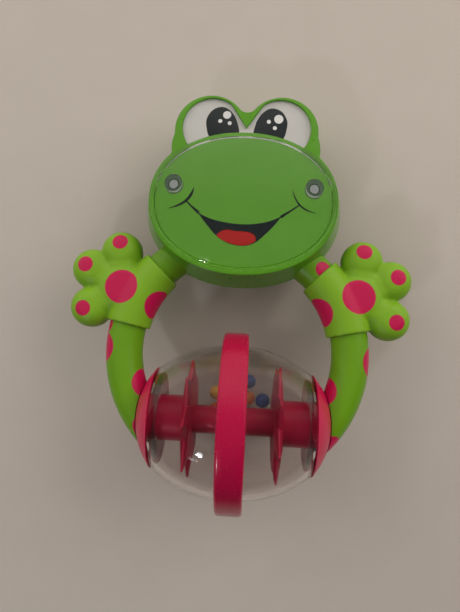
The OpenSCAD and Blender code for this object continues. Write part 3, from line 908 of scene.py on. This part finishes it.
def ring_halves():
    """Hollow front and back of the ring, cut clear of the ball and bored for the pins."""
    wall_gap = RING_GAP + TUBE_WALL
    for name, side in (("front", 1), ("back", -1)):
        outside = half_section(TUBE_R, side, 0.12)
        half = torus_part(f"ring_{name}", 0, TAIL_ANGLE, 180 - TAIL_ANGLE, 240, outline=outside)
        inside = half_section(TUBE_R - TUBE_WALL, side)
        hollow = torus_part("hollow", 0, TAIL_ANGLE + 6, 174 - TAIL_ANGLE, 160, outline=inside)
        stops = [ball_space(wall_gap), pin_boss(), mirror_x(ball_space(wall_gap)), mirror_x(pin_boss())]
        combine(hollow, stops, "DIFFERENCE")
        cuts = [hollow, ball_space(RING_GAP), mirror_x(ball_space(RING_GAP))]
        cuts += [pin_hole(), mirror_x(pin_hole())]
        combine(half, cuts, "DIFFERENCE")
        place(half, "ring", "frame", "ring_green", f"ring_{name}_shell")


def cushion_disc(name, x, y, radius, thickness, edge):
    """Disc with fat rounded edges."""
    half = thickness / 2
    levels = []
    for turn in np.linspace(-math.pi / 2, math.pi / 2, 13):
        r = radius - edge + edge * math.cos(turn)
        levels.append((max(r, 0.05), (half - edge) * np.sign(turn) + edge * math.sin(turn)))
    return turned_z(name, x, y, levels, 48)


def bridge(name, start, end, r_start, r_end, thickness, edge, steps=6):
    """Web from one disc to another, made of discs along the way."""
    web = None
    for share in np.linspace(0, 1, steps):
        x, y = (1 - share) * np.array(start) + share * np.array(end)
        disc = cushion_disc(name, x, y, (1 - share) * r_start + share * r_end, thickness, edge)
        if web is None:
            web = disc
        else:
            web.data = joined(web, disc)
            bpy.data.objects.remove(disc)
    return web


def joined(first, second):
    """Mesh that holds both meshes as they are."""
    merged = bmesh.new()
    merged.from_mesh(first.data)
    merged.from_mesh(second.data)
    mesh = bpy.data.meshes.new(first.name)
    merged.to_mesh(mesh)
    merged.free()
    return mesh


def hands():
    """Soft hands: a sleeve on the ring, a palm and three fat fingers, blended by a fine remesh."""
    voxel = 0.5
    web_from_r, web_to_r, edge, tip_edge = 7.4, 6.6, 5.5, 6.2
    for name, side in SIDES.items():
        hand = torus_part(f"hand_{name}_skin", SLEEVE_R, SLEEVE_FROM, SLEEVE_TO, 40, 64)
        parts = [cushion_disc("palm", *PALM, PALM_R, HAND_T, edge)]
        for finger in FINGERS:
            parts.append(bridge("finger", PALM, finger, web_from_r, web_to_r, HAND_T - 1.2, edge))
            parts.append(cushion_disc("tip", *finger, FINGER_R, HAND_T, tip_edge))
        for part in parts:
            hand.data = joined(hand, part)
            bpy.data.objects.remove(part)
        remesh = hand.modifiers.new("remesh", "REMESH")
        remesh.mode = "VOXEL"
        remesh.voxel_size = voxel
        soften = hand.modifiers.new("soften", "SMOOTH")
        soften.factor = 0.5
        soften.iterations = round(4.0 / voxel)
        apply_modifiers(hand)
        bore = torus_part("bore", TUBE_R + FIT, SLEEVE_FROM - 20, SLEEVE_TO + 20, 60, 64)
        combine(hand, [bore], "DIFFERENCE")
        if side < 0:
            mirror_x(hand)
        place(hand, "hand", "frame", "hand_green", f"hand_{name}")


# ---- ball -------------------------------------------------------------------------------


def ball_arc(radius, half_length, start, end, steps):
    """Points (radius, x) of the ball's ellipse from one distance along the axle to another."""
    turns = np.linspace(math.asin(start / half_length), math.asin(end / half_length), steps + 1)
    return [(radius * math.cos(t), half_length * math.sin(t)) for t in turns]


def ball_shells():
    """Clear halves that meet under the band, each with a hole for a cap's hub."""
    end = CAP_X - 0.1
    hole = HUB_R + 0.2
    rim_r = BALL_R * math.sqrt(1 - (end / BALL_HALF_L) ** 2)
    for name, side in SIDES.items():
        profile = [(FLANGE_R, 0.02), (FLANGE_R, FLANGE_T)]
        profile += ball_arc(BALL_R, BALL_HALF_L, FLANGE_T + 0.3, end - 0.4, 48)
        profile += [(rim_r - 0.4, end), (hole, end), (hole, end - BALL_WALL)]
        inner = ball_arc(BALL_R - BALL_WALL, BALL_HALF_L - BALL_WALL, end - BALL_WALL - 0.5, 0.02, 48)
        shell = revolve(f"ball_{name}", profile + [(inner[0][0] - 0.5, end - BALL_WALL)] + inner, 192)
        if side < 0:
            mirror_x(shell)
        place(shell, "ball", "ball", "clear_ball", f"ball_shell_{name}")


def band():
    """Grip band with a slight crown, eased edges and a groove that holds the shells together."""
    half, inner, groove = BAND_W / 2, BALL_R + 0.1, FLANGE_T + 0.1
    crown, seat = BAND_R - 0.15, FLANGE_R + 0.1
    corners = [(inner, -half, 0.4), (crown, -half, 1.5), (BAND_R, -half * 0.5, 3), (BAND_R, half * 0.5, 3)]
    corners += [(crown, half, 1.5), (inner, half, 0.4), (inner, groove, 0.1), (seat, groove, 0.1)]
    corners += [(seat, -groove, 0.1), (inner, -groove, 0.1)]
    place(revolve("grip_band", rounded(corners, 6), 192), "band", "ball", "band_pink", "ball_band")


def caps():
    """Domed end caps, each with a hub that holds the axle and turns on a pin."""
    rim = math.degrees(math.acos(CAP_R / CAP_SPHERE_R))
    bore = PIN_R + FIT
    inner_r = CAP_SPHERE_R - CAP_WALL
    inner_rim = math.degrees(math.acos((CAP_R - CAP_WALL) / inner_r))
    inner_hub = math.degrees(math.acos(HUB_R / inner_r))
    for name, side in SIDES.items():
        dome = arc((0, CAP_SPHERE_X), CAP_SPHERE_R, rim + 1.0, 94, 40)
        dome = [(r, x) for r, x in dome if r > bore + 0.25]
        profile = [(CAP_R - 0.25, CAP_X), (CAP_R - 0.05, CAP_X + 0.12), *dome]
        profile += [(bore, dome[-1][1] - 0.2), (bore, AXLE_END + 0.5), (AXLE_R + 0.1, AXLE_END + 0.5)]
        profile += [(AXLE_R + 0.1, HUB_X + 0.3), (AXLE_R + 0.4, HUB_X)]
        profile += [(HUB_R - 0.4, HUB_X), (HUB_R, HUB_X + 0.4)]
        profile += arc((0, CAP_SPHERE_X), inner_r, inner_hub, inner_rim, 16)
        profile.append((CAP_R - CAP_WALL, CAP_X))
        cap = revolve(f"end_cap_{name}", profile, 160)
        if side < 0:
            mirror_x(cap)
        place(cap, "cap", "ball", "cap_pink", f"cap_{name}")


def star_wheels():
    """Flat eight-pointed wheels whose points thin out to a blunt edge."""
    half, edge = STAR_T / 2, 0.35
    levels = ((-half, STAR_VALLEY_R + 1.5), (-edge, STAR_R), (edge, STAR_R), (half, STAR_VALLEY_R + 1.5))
    for name, side, first in (("left", -1, 0.0), ("right", 1, math.pi / STAR_POINTS)):
        rings = []
        for x, tip_r in levels:
            corners = []
            for i in range(2 * STAR_POINTS):
                r = tip_r if i % 2 == 0 else STAR_VALLEY_R
                angle = first + math.pi * i / STAR_POINTS
                corners.append((r * math.cos(angle), r * math.sin(angle), 0.4))
            points = np.array(rounded(corners, 4))
            rings.append(np.column_stack([np.full(len(points), STAR_X + x), points]))
        star = loft(f"star_{name}", rings)
        bore = [(CENTRE, 0), (AXLE_R + FIT, 0), (AXLE_R + FIT, 30), (CENTRE, 30)]
        combine(star, [revolve("bore", bore, 64, False)], "DIFFERENCE")
        if side < 0:
            mirror_x(star)
        place(star, "wheel", "ball", "wheel_pink", f"star_wheel_{name}", crease=25)


def axle():
    """Hollow axle with eased ends."""
    corners = [(AXLE_BORE, -AXLE_END, 0.3), (AXLE_R, -AXLE_END, 0.4)]
    corners += [(AXLE_R, AXLE_END, 0.4), (AXLE_BORE, AXLE_END, 0.3)]
    place(revolve("axle_tube", rounded(corners, 3), 96), "wheel", "ball", "wheel_pink", "ball_axle")


BEAD_TURN = 37  # degrees between one bead's parting line and the next one's
BEAD_COLOURS = ("blue", "yellow", "blue", "orange", "yellow", "orange", "blue", "yellow", "orange", "blue")


def beads():
    """Moulded beads with a fine parting line, each where its CAD node lies."""
    profile = []
    for turn in np.linspace(-math.pi / 2, math.pi / 2, 41):
        parting_line = 0.05 if abs(turn) < 0.03 else 0.0
        profile.append((max(BEAD_R * math.cos(turn), CENTRE) + parting_line, BEAD_R * math.sin(turn)))
    to_design = TO_ROW.inverted()
    for number, colour in enumerate(BEAD_COLOURS, start=1):
        low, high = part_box(f"bead_{number}")
        bead = revolve(f"bead_ball_{number}", profile, 64, closed=False)
        turn = Matrix.Rotation(math.radians(BEAD_TURN * number), 4, (0.3, 1, 0.6))
        bead.data.transform(Matrix.Translation(to_design @ ((low + high) / 2)) @ turn)
        lane = next(b for b, nodes in RECORD["behaviour"]["bodies"].items() if f"bead_{number}" in nodes)
        place(bead, colour, lane, f"bead_{colour}", f"bead_{number}")


# ---- build ------------------------------------------------------------------------------

make_camera()
make_lights()
make_floor()
make_materials()
head_back()
head_front()
printed_face()
face_cover()
screws()
pins()
ring_halves()
hands()
ball_shells()
band()
caps()
star_wheels()
axle()
beads()
